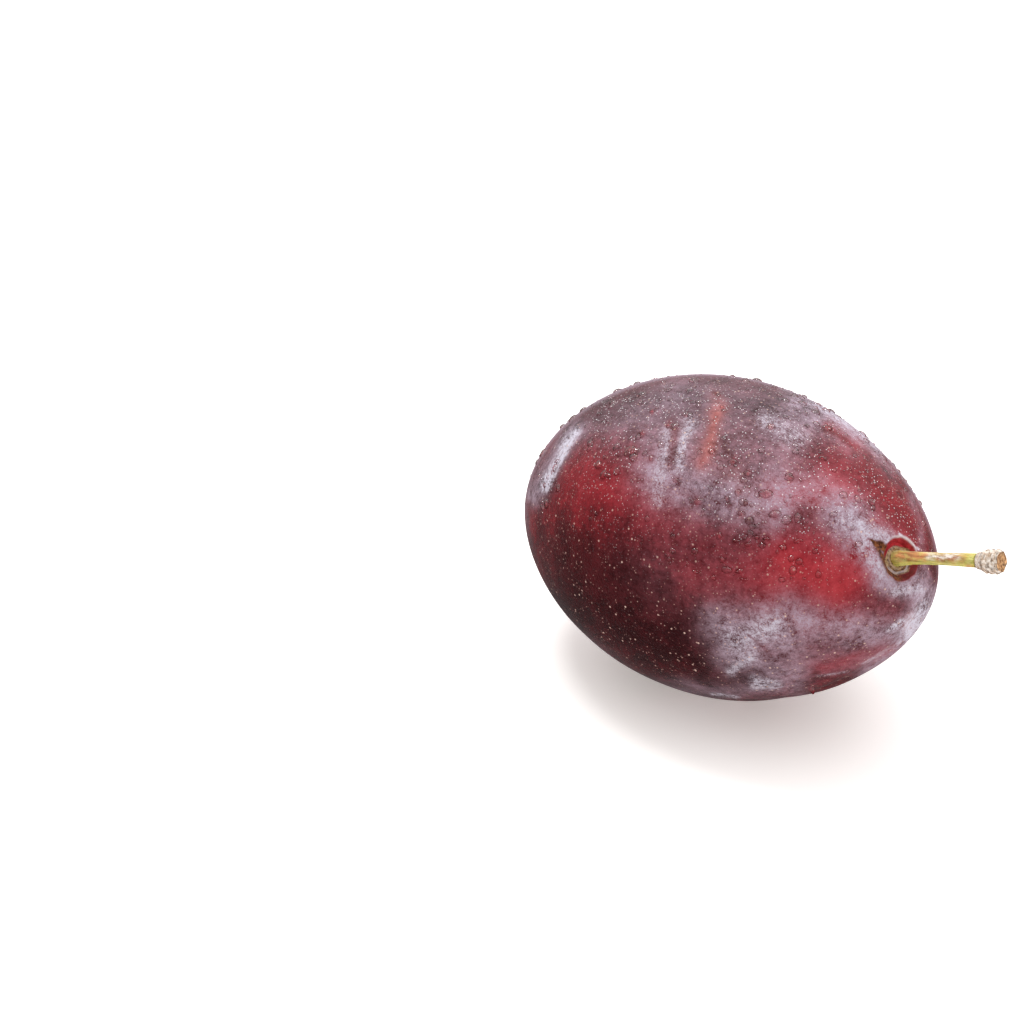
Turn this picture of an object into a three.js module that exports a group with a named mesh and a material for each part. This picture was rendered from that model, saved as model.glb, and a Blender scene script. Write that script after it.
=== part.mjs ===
import * as THREE from "three";

// A European plum at rest on its side, with its stem. Sizes are in millimetres and +Z is up.
// +X runs along the fruit to the stem end. The origin is the middle of the flat spot that the fruit rests on.

// Fruit: a long egg, slimmer towards both ends, with a slightly oval girth.
const FRUIT_LENGTH = 60.6;
const FRUIT_WIDTH = 41;
const STEM_END_TAPER = -0.036;
const BOTH_ENDS_TAPER = -0.126;
const OVAL_SHARE = 0.035;
const OVAL_LEAN = THREE.MathUtils.degToRad(120);

// Rest: the stem end is raised, and the underside is pressed flat where it meets the table.
const STEM_END_RAISED = THREE.MathUtils.degToRad(10);
const FRUIT_CENTRE = new THREE.Vector3(3.25, -1.3, 20.2);

// Stem cavity: a shallow funnel beside the tip of the egg, drawn out to a split on its upper side.
const CAVITY_FROM_TIP = THREE.MathUtils.degToRad(14);
const CAVITY_TURN = THREE.MathUtils.degToRad(111);
const CAVITY_RIM_RADIUS = 2.75;
const CAVITY_FLOOR_RADIUS = 1.75;
const CAVITY_DEPTH = 0.9;
const SHOULDER_RADIUS = 6;
const SHOULDER_DEPTH = 0.2;
const SPLIT_LENGTH = 5;
const SPLIT_WIDTH = 0.9;
const SPLIT_END_WIDTH = 0.3;
const SPLIT_DEPTH = 0.7;
const SPLIT_TURN = THREE.MathUtils.degToRad(139);
const SOCKET_DEPTH = 1.3;
const FITTING_GAP = 0.3;

// Suture: the shallow groove from beside the cavity, under the near side, to the blossom end.
const SUTURE_TURN = THREE.MathUtils.degToRad(255);
const SUTURE_BOW = 2.7;
const SUTURE_BOW_REACH = 14;
const SUTURE_DEPTH = 0.4;
const SUTURE_HALF_WIDTH = 1.5;
const SUTURE_FADE = 0.3;

// Blossom end: a low blunt point with a small scar pressed into it.
const POINT_HEIGHT = 0.7;
const POINT_RADIUS = 4;
const SCAR_DEPTH = 0.5;
const SCAR_RADIUS = 1;

// Facets of the fruit: rings by their distance from the cavity's axis near it, then by even angles.
const FRUIT_SEGMENTS = 72;
const SEGMENTS_DRAWN_TO_SUTURE = 0.5;
const CAVITY_RINGS = [1.75, 2, 2.25, 2.5, 2.75, 3, 3.4, 3.9, 4.5, 5.2, 6.2, 7.4];
const BODY_RINGS = 30;
const SCAR_RINGS = [5, 3.6, 2.6, 1.8, 1.2, 0.6];

// Stem: stands in the socket, flares at its foot, and swells a little at the far end.
const STEM_LENGTH = 12.6;
const STEM_FOOT_RADIUS = 1.05;
const STEM_RADIUS = 0.76;
const STEM_SWELL_RADIUS = 0.86;
const STEM_FLARE_LENGTH = 2.4;
const STEM_SWELL_LENGTH = 3;
const STEM_RISE = THREE.MathUtils.degToRad(15);
const STEM_SWING = THREE.MathUtils.degToRad(9);
const STEM_SIDES = 16;
const STEM_STEPS = 22;

// Stem end: the corky knob where the stem came away from its twig.
const KNOB_LENGTH = 3.1;
const KNOB_START_RADIUS = 1.05;
const KNOB_RADIUS = 1.45;
const KNOB_RING_HEIGHT = 0.06;
const KNOB_RING_COUNT = 4;
const KNOB_LOBE_SHARE = 0.05;
const KNOB_LOBES = 5;
const KNOB_LOBE_TWIST = 1;
const KNOB_WIDENED_AT = 0.45;
const KNOB_ROUNDED_FROM = 0.85;
const KNOB_ROUNDING = 0.14;
const KNOB_SIDES = 25;
const KNOB_STEPS = 20;
const KNOB_HOLLOW_DEPTH = 0.35;

const UP = new THREE.Vector3(0, 0, 1);

// A unit vector this far from the fruit's +X axis, and turned this far round it from +Y towards +Z.
function direction(fromTip, turn) {
  const side = Math.sin(fromTip);
  return new THREE.Vector3(Math.cos(fromTip), side * Math.cos(turn), side * Math.sin(turn));
}

// A dip with a round bottom, whole at the middle and almost gone at twice the width.
function dip(distance, width) {
  return Math.exp(-((distance / width) ** 2));
}

// The smooth egg: where a direction of the unit sphere meets the skin.
function egg(d) {
  const taper = 1 + STEM_END_TAPER * d.x + BOTH_ENDS_TAPER * d.x ** 2;
  const oval = 1 + OVAL_SHARE * Math.cos(2 * (Math.atan2(d.z, d.y) - OVAL_LEAN));
  const girth = (FRUIT_WIDTH / 2) * taper * oval;
  return new THREE.Vector3((FRUIT_LENGTH / 2) * d.x, girth * d.y, girth * d.z);
}

function outward(d) {
  const half = FRUIT_WIDTH / 2;
  return new THREE.Vector3((d.x * half) / (FRUIT_LENGTH / 2), d.y, d.z).normalize();
}

// The cavity has its own axis: out of the fruit, down to the suture, and across.
const cavityAt = direction(CAVITY_FROM_TIP, CAVITY_TURN);
const cavityMiddle = egg(cavityAt);
const cavityOut = outward(cavityAt);
const cavityDown = UP.clone().negate().projectOnPlane(cavityOut).normalize();
const cavityAcross = new THREE.Vector3().crossVectors(cavityDown, cavityOut);
const blossomAt = cavityAt.clone().negate();
const blossomMiddle = egg(blossomAt);
const sutureAcross = new THREE.Vector3(0, -Math.sin(SUTURE_TURN), Math.cos(SUTURE_TURN));
const sutureSide = new THREE.Vector3(0, Math.cos(SUTURE_TURN), Math.sin(SUTURE_TURN));

// How deep the stem cavity, its shoulder and its split go at a point of the smooth egg.
function cavityDepth(point) {
  if (point.x < 0) return 0;
  const arm = point.clone().sub(cavityMiddle);
  const along = arm.dot(cavityDown);
  const across = arm.dot(cavityAcross);
  const reach = Math.hypot(along, across);
  const funnel = 1 - THREE.MathUtils.smoothstep(reach, CAVITY_FLOOR_RADIUS, CAVITY_RIM_RADIUS);
  const splitAlong = along * Math.cos(SPLIT_TURN) + across * Math.sin(SPLIT_TURN);
  const splitAcross = across * Math.cos(SPLIT_TURN) - along * Math.sin(SPLIT_TURN);
  const splitEnd = THREE.MathUtils.clamp(1 - splitAlong / SPLIT_LENGTH, 0, 1);
  const splitWidth = THREE.MathUtils.lerp(SPLIT_END_WIDTH, SPLIT_WIDTH, splitEnd);
  const split = splitAlong > 0 ? splitEnd * dip(splitAcross, splitWidth) : 0;
  return (
    SHOULDER_DEPTH * dip(reach, SHOULDER_RADIUS) +
    Math.max(CAVITY_DEPTH * funnel, SPLIT_DEPTH * split)
  );
}

// How deep the suture groove is. It bows to the far side near the cavity, and ends in the blossom end's scar.
function sutureDepth(d, point) {
  const bow = SUTURE_BOW * dip(point.distanceTo(cavityMiddle), SUTURE_BOW_REACH);
  const toScar = (blossomAt.dot(sutureAcross) * FRUIT_WIDTH) / 2;
  const end = toScar * dip(point.distanceTo(blossomMiddle), SHOULDER_RADIUS);
  const across = (d.dot(sutureAcross) * FRUIT_WIDTH) / 2 - bow - end;
  const onItsSide = THREE.MathUtils.smoothstep(d.dot(sutureSide), 0, SUTURE_FADE);
  return SUTURE_DEPTH * onItsSide * dip(across, SUTURE_HALF_WIDTH);
}

function blossomRise(point) {
  const reach = point.distanceTo(blossomMiddle);
  return POINT_HEIGHT * dip(reach, POINT_RADIUS) - SCAR_DEPTH * dip(reach, SCAR_RADIUS);
}

// From the fruit's own axes to the place where it rests.
function atRest(point) {
  return point.applyAxisAngle(new THREE.Vector3(0, 1, 0), -STEM_END_RAISED).add(FRUIT_CENTRE);
}

function skin(d) {
  const point = egg(d);
  const sunk = sutureDepth(d, point) - blossomRise(point);
  return point.addScaledVector(outward(d), -sunk).addScaledVector(cavityOut, -cavityDepth(egg(d)));
}

// The underside never goes below the table, so it ends in a true flat there.
function onTable(point) {
  point.z = Math.max(point.z, 0);
  return point;
}

// A closed surface from rings of equal length, with a middle point over the first and the last ring.
function closedRings(rings, firstMiddle, lastMiddle) {
  const sides = rings[0].length;
  const points = [...rings.flat(), firstMiddle, lastMiddle];
  const first = points.length - 2;
  const last = points.length - 1;
  const index = [];
  for (let side = 0; side < sides; side++) {
    const next = (side + 1) % sides;
    index.push(first, next, side);
    for (let ring = 0; ring < rings.length - 1; ring++) {
      const here = ring * sides;
      const beyond = here + sides;
      index.push(here + side, here + next, beyond + next);
      index.push(here + side, beyond + next, beyond + side);
    }
    const end = (rings.length - 1) * sides;
    index.push(last, end + side, end + next);
  }
  const geometry = new THREE.BufferGeometry().setFromPoints(points);
  geometry.setIndex(index);
  geometry.computeVertexNormals();
  return geometry;
}

// The fruit's rings run round the cavity's axis, from the socket at its floor to the blossom end.
function fruitGeometry() {
  const first = UP.clone().negate().projectOnPlane(cavityAt).normalize();
  const second = new THREE.Vector3().crossVectors(first, cavityAt);
  const turnOf = (segment) => {
    const even = (2 * Math.PI * segment) / FRUIT_SEGMENTS;
    return even - SEGMENTS_DRAWN_TO_SUTURE * Math.sin(even);
  };
  const ringAt = (fromCavity) =>
    Array.from({ length: FRUIT_SEGMENTS }, (_, segment) => {
      const turn = turnOf(segment);
      const d = cavityAt
        .clone()
        .multiplyScalar(Math.cos(fromCavity))
        .addScaledVector(first, Math.sin(fromCavity) * Math.cos(turn))
        .addScaledVector(second, Math.sin(fromCavity) * Math.sin(turn));
      return onTable(atRest(skin(d)));
    });
  const tipWidth = (FRUIT_WIDTH / 2) * (1 + STEM_END_TAPER + BOTH_ENDS_TAPER);
  const angleOf = (radius) => Math.asin(radius / tipWidth);
  const floor = cavityMiddle.clone().addScaledVector(cavityOut, -CAVITY_DEPTH - SHOULDER_DEPTH);
  const socketRing = (radius, depth) =>
    Array.from({ length: FRUIT_SEGMENTS }, (_, segment) => {
      const turn = turnOf(segment);
      const point = floor
        .clone()
        .addScaledVector(cavityOut, -depth)
        .addScaledVector(cavityDown, radius * Math.cos(turn))
        .addScaledVector(cavityAcross, radius * Math.sin(turn));
      return atRest(point);
    });
  const socketRadius = STEM_FOOT_RADIUS + FITTING_GAP;
  const nearAngle = angleOf(CAVITY_RINGS.at(-1));
  const farAngle = Math.PI - angleOf(SCAR_RINGS[0]);
  const bodyAngles = Array.from(
    { length: BODY_RINGS },
    (_, ring) => nearAngle + ((farAngle - nearAngle) * (ring + 1)) / (BODY_RINGS + 1),
  );
  const rings = [
    socketRing(socketRadius, SOCKET_DEPTH),
    socketRing(socketRadius, 0),
    ...CAVITY_RINGS.map((radius) => ringAt(angleOf(radius))),
    ...bodyAngles.map(ringAt),
    ...SCAR_RINGS.map((radius) => ringAt(Math.PI - angleOf(radius))),
  ];
  const socketFloor = atRest(floor.clone().addScaledVector(cavityOut, -SOCKET_DEPTH));
  return closedRings(rings, socketFloor, atRest(skin(blossomAt)));
}

// The stem's middle line: out of the socket along the cavity's axis, then bending over to its own heading.
function stemLine() {
  const out = cavityOut.clone().applyAxisAngle(new THREE.Vector3(0, 1, 0), -STEM_END_RAISED);
  const depth = CAVITY_DEPTH + SHOULDER_DEPTH + SOCKET_DEPTH - FITTING_GAP;
  const start = atRest(cavityMiddle.clone().addScaledVector(cavityOut, -depth));
  const heading = new THREE.Vector3(
    Math.cos(STEM_RISE) * Math.cos(STEM_SWING),
    Math.cos(STEM_RISE) * Math.sin(STEM_SWING),
    Math.sin(STEM_RISE),
  );
  const bendAt = start.clone().addScaledVector(out, STEM_LENGTH / 4);
  const end = bendAt.clone().addScaledVector(heading, (STEM_LENGTH * 3) / 4);
  const beforeEnd = end.clone().addScaledVector(heading, -STEM_LENGTH / 3);
  return new THREE.CubicBezierCurve3(start, bendAt, beforeEnd, end);
}

// Rings of a round bar along a line; the radius follows the distance from the start and the turn.
function barRings(line, steps, sides, radiusAt) {
  const frames = line.computeFrenetFrames(steps, false);
  const length = line.getLength();
  return Array.from({ length: steps + 1 }, (_, step) => {
    const middle = line.getPointAt(step / steps);
    return Array.from({ length: sides }, (_, side) => {
      const turn = (2 * Math.PI * side) / sides;
      const radius = radiusAt((length * step) / steps, turn);
      return middle
        .clone()
        .addScaledVector(frames.normals[step], radius * Math.cos(turn))
        .addScaledVector(frames.binormals[step], radius * Math.sin(turn));
    });
  });
}

function stemGeometry(line) {
  const length = line.getLength();
  const rings = barRings(line, STEM_STEPS, STEM_SIDES, (along) => {
    const flare = (STEM_FOOT_RADIUS - STEM_RADIUS) * dip(along, STEM_FLARE_LENGTH);
    const swell = (STEM_SWELL_RADIUS - STEM_RADIUS) * dip(length - along, STEM_SWELL_LENGTH);
    return STEM_RADIUS + flare + swell;
  });
  return closedRings(rings, line.getPointAt(0), line.getPointAt(1));
}

// The knob carries on in line with the stem: it widens, is ringed with scars, and ends in a hollowed cut face.
function stemEndGeometry(stem) {
  const heading = stem.getTangentAt(1);
  const start = stem.getPointAt(1).addScaledVector(heading, FITTING_GAP);
  const end = start.clone().addScaledVector(heading, KNOB_LENGTH);
  const line = new THREE.LineCurve3(start, end);
  const rings = barRings(line, KNOB_STEPS, KNOB_SIDES, (along, turn) => {
    const share = along / KNOB_LENGTH;
    const widening = THREE.MathUtils.smoothstep(share, 0, KNOB_WIDENED_AT);
    const ridge = KNOB_RING_HEIGHT * Math.sin(2 * Math.PI * KNOB_RING_COUNT * share);
    const lobe = 1 + KNOB_LOBE_SHARE * widening * Math.cos(KNOB_LOBES * turn + KNOB_LOBE_TWIST * share);
    const rounding = 1 - KNOB_ROUNDING * THREE.MathUtils.smoothstep(share, KNOB_ROUNDED_FROM, 1);
    const radius = KNOB_START_RADIUS + (KNOB_RADIUS - KNOB_START_RADIUS) * widening;
    return (radius + ridge * widening) * lobe * rounding;
  });
  const cutMiddle = end.clone().addScaledVector(heading, -KNOB_HOLLOW_DEPTH);
  return closedRings(rings, start, cutMiddle);
}

function piece(name, geometry, color, roughness) {
  const material = new THREE.MeshStandardMaterial({ color, roughness, metalness: 0 });
  const mesh = new THREE.Mesh(geometry, material);
  mesh.name = name;
  return mesh;
}

const plum = new THREE.Group();
const stem = stemLine();
plum.add(piece("fruit", fruitGeometry(), 0x6b2030, 0.45));
plum.add(piece("stem", stemGeometry(stem), 0xbfae4a, 0.6));
plum.add(piece("stem_end", stemEndGeometry(stem), 0x9a7350, 0.85));

export default plum;
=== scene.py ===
import math
from collections import namedtuple

import bmesh
import bpy
import numpy as np
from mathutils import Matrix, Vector, noise


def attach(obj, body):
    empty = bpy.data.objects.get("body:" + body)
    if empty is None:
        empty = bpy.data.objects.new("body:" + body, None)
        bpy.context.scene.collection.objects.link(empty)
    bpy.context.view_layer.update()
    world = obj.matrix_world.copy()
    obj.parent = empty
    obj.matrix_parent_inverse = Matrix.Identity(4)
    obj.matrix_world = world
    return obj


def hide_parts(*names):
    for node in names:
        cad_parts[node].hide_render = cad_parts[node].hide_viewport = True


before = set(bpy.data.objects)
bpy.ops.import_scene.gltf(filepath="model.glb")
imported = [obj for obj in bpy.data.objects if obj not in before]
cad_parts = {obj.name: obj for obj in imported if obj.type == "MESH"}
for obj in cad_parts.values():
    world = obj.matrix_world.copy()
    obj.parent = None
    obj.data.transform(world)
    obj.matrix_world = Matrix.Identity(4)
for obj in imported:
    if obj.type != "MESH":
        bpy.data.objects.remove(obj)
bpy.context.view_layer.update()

# A plum at rest on its side: skin with bloom, pale dots and water drops, a scuffed stem and its corky end.
# Sizes are in millimetres until a mesh is made. +X runs along the fruit to the stem end and +Z is up.
MM = 0.001
UP = np.array([0.0, 0.0, 1.0])

# Fruit, as in the part's source
FRUIT_LENGTH = 60.6
FRUIT_WIDTH = 41
STEM_END_TAPER = -0.036
BOTH_ENDS_TAPER = -0.126
OVAL_SHARE = 0.035
OVAL_LEAN = math.radians(120)
STEM_END_RAISED = math.radians(10)
FRUIT_CENTRE = np.array([3.25, -1.3, 20.2])
CAVITY_FROM_TIP = math.radians(14)
CAVITY_TURN = math.radians(111)
CAVITY_RIM_RADIUS = 2.75
CAVITY_FLOOR_RADIUS = 1.75
CAVITY_DEPTH = 0.9
SHOULDER_RADIUS = 6
SHOULDER_DEPTH = 0.2
SPLIT_LENGTH = 5
SPLIT_WIDTH = 0.9
SPLIT_END_WIDTH = 0.3
SPLIT_DEPTH = 0.7
SPLIT_TURN = math.radians(139)
SOCKET_DEPTH = 1.3
FITTING_GAP = 0.3
SUTURE_TURN = math.radians(255)
SUTURE_BOW = 2.7
SUTURE_BOW_REACH = 14
SUTURE_DEPTH = 0.4
SUTURE_HALF_WIDTH = 1.5
SUTURE_FADE = 0.3
POINT_HEIGHT = 0.7
POINT_RADIUS = 4
SCAR_DEPTH = 0.5
SCAR_RADIUS = 1

# Fineness of the skin: rings run round the stem cavity's axis, close together near it
SKIN_SEGMENTS = 288
CAVITY_RING_STEP = 0.07
BODY_RING_STEP = 0.31
CLOSE_RINGS_TO = 3.6
WAVE_HEIGHT = 0.07
WAVE_LENGTH = 7
NOISE_SEED = 4
CORK_RING_HEIGHT = 0.07
CORK_RING_SPACING = 0.42
CORK_RINGS_FROM = 0.9
CORK_RINGS_TO = 2.1
SCORCH_TO = 4.7

# Stem and stem end, as in the part's source
STEM_LENGTH = 12.6
STEM_FOOT_RADIUS = 1.05
STEM_RADIUS = 0.76
STEM_SWELL_RADIUS = 0.86
STEM_FLARE_LENGTH = 2.4
STEM_SWELL_LENGTH = 3
STEM_RISE = math.radians(15)
STEM_SWING = math.radians(9)
KNOB_LENGTH = 3.1
KNOB_START_RADIUS = 1.05
KNOB_RADIUS = 1.45
KNOB_RING_HEIGHT = 0.06
KNOB_RING_COUNT = 4
KNOB_LOBE_SHARE = 0.05
KNOB_LOBES = 5
KNOB_LOBE_TWIST = 1
KNOB_WIDENED_AT = 0.45
KNOB_ROUNDED_FROM = 0.85
KNOB_ROUNDING = 0.14
KNOB_HOLLOW_DEPTH = 0.35

# Fineness of the stem, its end and the larger drops
STEM_STEPS, STEM_SIDES = 220, 48
KNOB_STEPS, KNOB_SIDES, KNOB_CUT_RINGS = 110, 120, 16
DROP_SIDES, DROP_RINGS = 32, 8

# Camera: the photograph's frame, the angle it was taken from, and where the fruit's centre shows in it
PHOTO_SIDE = 1024
LENS = 150
SENSOR = 36
CAMERA_TURN = math.radians(42.1)
CAMERA_RISE = math.radians(30)
CAMERA_DISTANCE = 537.9
FRUIT_IN_PHOTO = (729, 538.5)

# Colours, as shares of red, green and blue light
SKIN_REDS = {
    0.0: (0.030, 0.0018, 0.003, 1),
    0.3: (0.085, 0.005, 0.008, 1),
    0.62: (0.25, 0.013, 0.020, 1),
    1.0: (0.46, 0.030, 0.038, 1),
}
AMBER = (0.40, 0.10, 0.08, 1)
BLOOM_FILM = (0.42, 0.325, 0.40, 1)
BLOOM_CRUST = (0.60, 0.57, 0.66, 1)
DOT_DULL, DOT_PALE = (0.46, 0.18, 0.155, 1), (0.72, 0.49, 0.41, 1)
PAINTED_GLINT = (0.96, 0.90, 0.93, 1)
WALL_DARK, WALL_RED, WALL_SHADE = (0.26, 0.010, 0.016, 1), (0.50, 0.03, 0.04, 1), (0.10, 0.010, 0.012, 1)
FLOOR_CORK_DARK, FLOOR_CORK_PALE = (0.11, 0.05, 0.018, 1), (0.50, 0.33, 0.17, 1)
LILAC_RING = (0.66, 0.57, 0.60, 1)
SCORCH_DARK, SCORCH_BROWN = (0.045, 0.012, 0.006, 1), (0.22, 0.07, 0.022, 1)
SHEEN_TINT = (0.95, 0.90, 0.95, 1)
STEM_GREEN, STEM_YELLOW, STEM_CREAM = (0.33, 0.34, 0.02, 1), (0.70, 0.66, 0.12, 1), (0.78, 0.70, 0.30, 1)
RUST_DARK, RUST = (0.30, 0.09, 0.02, 1), (0.68, 0.30, 0.10, 1)
STEM_FROST, STEM_SPECK = (0.86, 0.76, 0.70, 1), (0.16, 0.07, 0.02, 1)
RIND_BROWN, RIND_PALE = (0.50, 0.34, 0.22, 1), (1.0, 0.93, 0.85, 1)
CUT_DARK, CUT_TAN = (0.20, 0.07, 0.02, 1), (0.90, 0.52, 0.24, 1)
RIND_TAN, RIND_CRACK, RIND_SPECK = (0.26, 0.12, 0.05, 1), (0.14, 0.07, 0.035, 1), (0.06, 0.03, 0.02, 1)
WATER_CLEAR, WATER_RIM_SHADE, WATER_SHADOW = (0.94, 0.89, 0.89, 1), (0.24, 0.014, 0.024, 1), (0.72, 0.68, 0.68, 1)
TABLE_WHITE, TABLE_GLOW = (0.84, 0.83, 0.82, 1), (1.0, 0.92, 0.88, 1)

# Light, as shares of white
DOME_RIM = 0.8
DOME_TOP = 2.1
DOME_FRONT_SHARE = 0.35
BELOW_SHARE = 0.18

# Skin under a larger drop: how far it is washed, in pixels for each millimetre of the drop's width,
# the share of the haze that is washed off, and how ripe it shows
WASHED_REACH, WASHED_SHARE, WASHED_RIPENESS = 3.6, 0.6, 0.62

# Small lamp: its width, its power in watts, and how far it is over, behind and left of the fruit
LAMP_WIDTH, LAMP_POWER = 140, 1.0
LAMP_OVER, LAMP_BEHIND, LAMP_LEFT = 560, 160, 170
FLOOR_HALF_SIDE = 3000

# Marks on the skin, the stem or its end, for each layer of the finish, as they show in the photograph.
# A mark is a band between two pixels, so many pixels wide to each side, with the strength at which it
# adds to its layer. A negative strength clears the layer.
SKIN_MARKS = {
    "ripeness_and_shade": [
        ("bright flush", (782, 562), (834, 572), 33, 0.75),
        ("flush towards the stem", (838, 592), (866, 560), 22, 0.4),
        ("upper left cheek", (590, 480), (655, 496), 32, 0.3),
        # Painted shade: this mark darkens the lower left, over skin that is darker there of itself.
        ("painted shade, deep left belly", (585, 560), (655, 590), 28, -0.4),
        ("middle of the belly", (690, 560), (760, 600), 34, 0.2),
        ("right flank", (845, 466), (918, 520), 22, 0.2),
        ("low right band", (820, 664), (890, 646), 8, 0.3),
        ("red behind the pink", (775, 492), (850, 492), 20, 0.6),
        ("red under the rim", (880, 520), (925, 545), 12, 0.3),
        # Painted shade on the lower left side and edge, over skin that is darker there of itself.
        ("painted shade, left side", (572, 606), (675, 646), 40, -0.95),
        ("painted shade, left edge", (556, 540), (572, 572), 18, -0.4),
        ("dark lower middle", (660, 660), (760, 690), 24, -0.6),
        ("red along the bottom edge", (730, 698), (790, 693), 9, 0.2),
        ("dark top", (600, 404), (800, 398), 28, -0.65),
        ("dark crimson flank", (850, 468), (866, 482), 9, -0.2),
        ("crimson drag, upper right", (826, 424), (856, 446), 8, 0.3),
        ("mauve behind the lower haze", (800, 625), (880, 615), 16, 0.2),
        ("dark left shoulder", (578, 424), (535, 490), 12, -0.6),
    ],
    "amber": [
        ("amber run", (718, 404), (707, 464), 8, 0.75),
        ("brown behind the drops", (733, 470), (748, 508), 11, 0.3),
        ("gold by the suture", (914, 616), (908, 628), 4, 0.6),
    ],
    "haze": [
        ("grey top, left", (588, 432), (680, 394), 24, 0.2),
        ("grey top, right", (680, 392), (800, 394), 24, 0.2),
        ("upper right shoulder", (800, 402), (892, 462), 15, 0.85),
        ("upper middle", (650, 440), (780, 440), 34, 0.33),
        ("mauve band", (662, 478), (770, 504), 25, 0.84),
        ("pink lilac middle", (770, 480), (852, 506), 22, 0.55),
        ("smear above the cavity", (844, 520), (882, 548), 18, 1.0),
        ("smear below the cavity", (882, 578), (922, 592), 14, 0.9),
        ("lavender right of the cavity", (920, 574), (931, 600), 9, 0.85),
        ("smear left of the cavity", (856, 546), (886, 576), 13, 0.85),
        ("lower right haze", (780, 612), (885, 636), 20, 0.8),
        ("lavender patch", (726, 624), (784, 636), 24, 0.85),
        ("haze low in the middle", (725, 655), (800, 680), 16, 0.55),
        ("haze along the suture", (920, 612), (868, 672), 9, 0.75),
        # Painted highlight: a pale band along the left shoulder stands for a reflection, laid in the bloom's
        # grey here.
        ("painted highlight, grey left shoulder", (575, 432), (528, 492), 12, 0.62),
        # Pale edges: bloom, and a painted reflection of the bright floor and surroundings where the skin
        # turns away.
        ("bloom and painted reflection, lower left edge", (535, 600), (640, 694), 7, 0.4),
        ("bottom edge", (640, 690), (800, 692), 8, 0.4),
        ("low right band haze", (800, 664), (870, 652), 12, 0.3),
        # Pale right edge: bloom, and a painted reflection of the bright surroundings.
        ("bloom and painted reflection, right edge", (912, 486), (936, 590), 5, 0.5),
        ("clean amber run", (717, 412), (707, 460), 6, -0.6),
        ("clean red run", (672, 425), (674, 462), 4, -0.6),
        ("thin film on the belly", (680, 555), (850, 560), 48, 0.1),
        ("rubbed flush", (790, 562), (838, 580), 22, -0.6),
        ("rubbed right flank", (862, 462), (912, 515), 13, -0.85),
        ("clear left cheek", (596, 474), (634, 490), 20, -0.27),
        ("rubbed left cheek", (566, 508), (592, 536), 12, -0.8),
        ("rubbed low band", (822, 663), (884, 646), 6, -0.5),
    ],
    "wet": [
        ("drops on the belly", (705, 560), (800, 545), 26, 0.75),
        ("drops across the middle", (730, 500), (850, 480), 30, 0.6),
    ],
    "frost": [
        # Painted highlight: the white strip along the left shoulder stands for a reflection, in the frosty
        # bloom's colour.
        ("painted highlight strip, left shoulder", (576, 432), (543, 482), 6, 0.85),
        ("frost streak, first", (668, 436), (660, 500), 7, 0.38),
        ("frost streak, second", (690, 424), (683, 466), 8, 0.42),
        ("frost upper right", (768, 418), (798, 436), 14, 0.36),
        ("frost right shoulder", (815, 402), (884, 452), 9, 0.56),
        ("frost above the cavity", (848, 522), (884, 538), 12, 0.42),
        ("frost in the lavender patch", (734, 642), (772, 624), 15, 0.55),
        ("frost low left", (730, 672), (750, 658), 7, 0.5),
        ("frost low middle", (752, 684), (778, 687), 6, 0.55),
        ("frost left of the cavity", (862, 548), (880, 572), 8, 0.4),
        ("frost on the right side", (926, 606), (906, 638), 7, 0.7),
        ("frost band at the suture", (905, 624), (891, 632), 3, 0.7),
        ("frost below the cavity", (895, 592), (925, 588), 6, 0.5),
    ],
}

# Scratches and thin streaks, which keep their place exactly
FINE_MARKS = {
    "haze": [
        ("scratch above the cavity, first", (856, 515), (868, 524), 0.9, -0.8),
        ("scratch above the cavity, second", (860, 514), (873, 523), 0.9, -0.8),
        ("scratch above the cavity, third", (866, 515), (880, 524), 0.9, -0.7),
        ("scratch above the cavity, fourth", (864, 520), (876, 527), 0.8, -0.7),
        ("scratch above the cavity, fifth", (874, 519), (883, 525), 0.8, -0.6),
        ("scratch left of the cavity, first", (860, 543), (873, 552), 1.0, -0.85),
        ("scratch left of the cavity, second", (852, 541), (862, 549), 0.9, -0.6),
        ("scratch left of the cavity, third", (862, 553), (871, 560), 1.0, -0.6),
        ("dark dot below the cavity", (913, 585), (914, 586), 1.1, -1.0),
        ("scratch in the lavender patch", (748, 635), (770, 653), 1.3, -0.45),
        ("red run", (676, 428), (673, 462), 3.5, -0.6),
        ("dark fleck at the top", (714, 393), (718, 394), 2.5, -0.9),
        ("dark drag, upper right", (826, 426), (856, 448), 4.0, -0.8),
    ],
    "scorch": [
        ("scorched edge, upper left", (876, 544), (882, 556), 2.6, 1.0),
        ("scorched edge, left", (882, 556), (889, 570), 2.2, 0.95),
        ("scorched edge, lower left", (889, 570), (898, 578), 2.0, 0.9),
    ],
    "frost": [
        ("line right of the cavity", (899, 533), (919, 549), 1.2, 0.7),
        ("scratch in the patch's frost", (748, 635), (770, 653), 1.4, -0.7),
        ("thin low line", (712, 694), (738, 697), 2.0, 0.6),
        ("pale line, lower right", (818, 676), (848, 671), 1.6, 0.35),
        ("pale line, low right edge", (862, 664), (900, 642), 2.0, 0.3),
        ("frosted run", (686, 430), (680, 462), 3.0, 0.25),
        ("frosted run, left", (668, 446), (662, 496), 3.0, 0.15),
    ],
}


def unit(v):
    return v / np.linalg.norm(v, axis=-1, keepdims=True)


def dip(distance, width):
    """A dip with a round bottom, whole at the middle and almost gone at twice the width."""
    return np.exp(-((distance / width) ** 2))


def smoothstep(value, low, high):
    """Eases from 0 at the first level to 1 at the second."""
    share = np.clip((value - low) / (high - low), 0, 1)
    return share * share * (3 - 2 * share)


def direction(from_tip, turn):
    """A unit vector this far from the fruit's own axis, and turned this far round it."""
    side = np.sin(from_tip)
    return np.stack([np.cos(from_tip), side * np.cos(turn), side * np.sin(turn)], -1)


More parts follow.
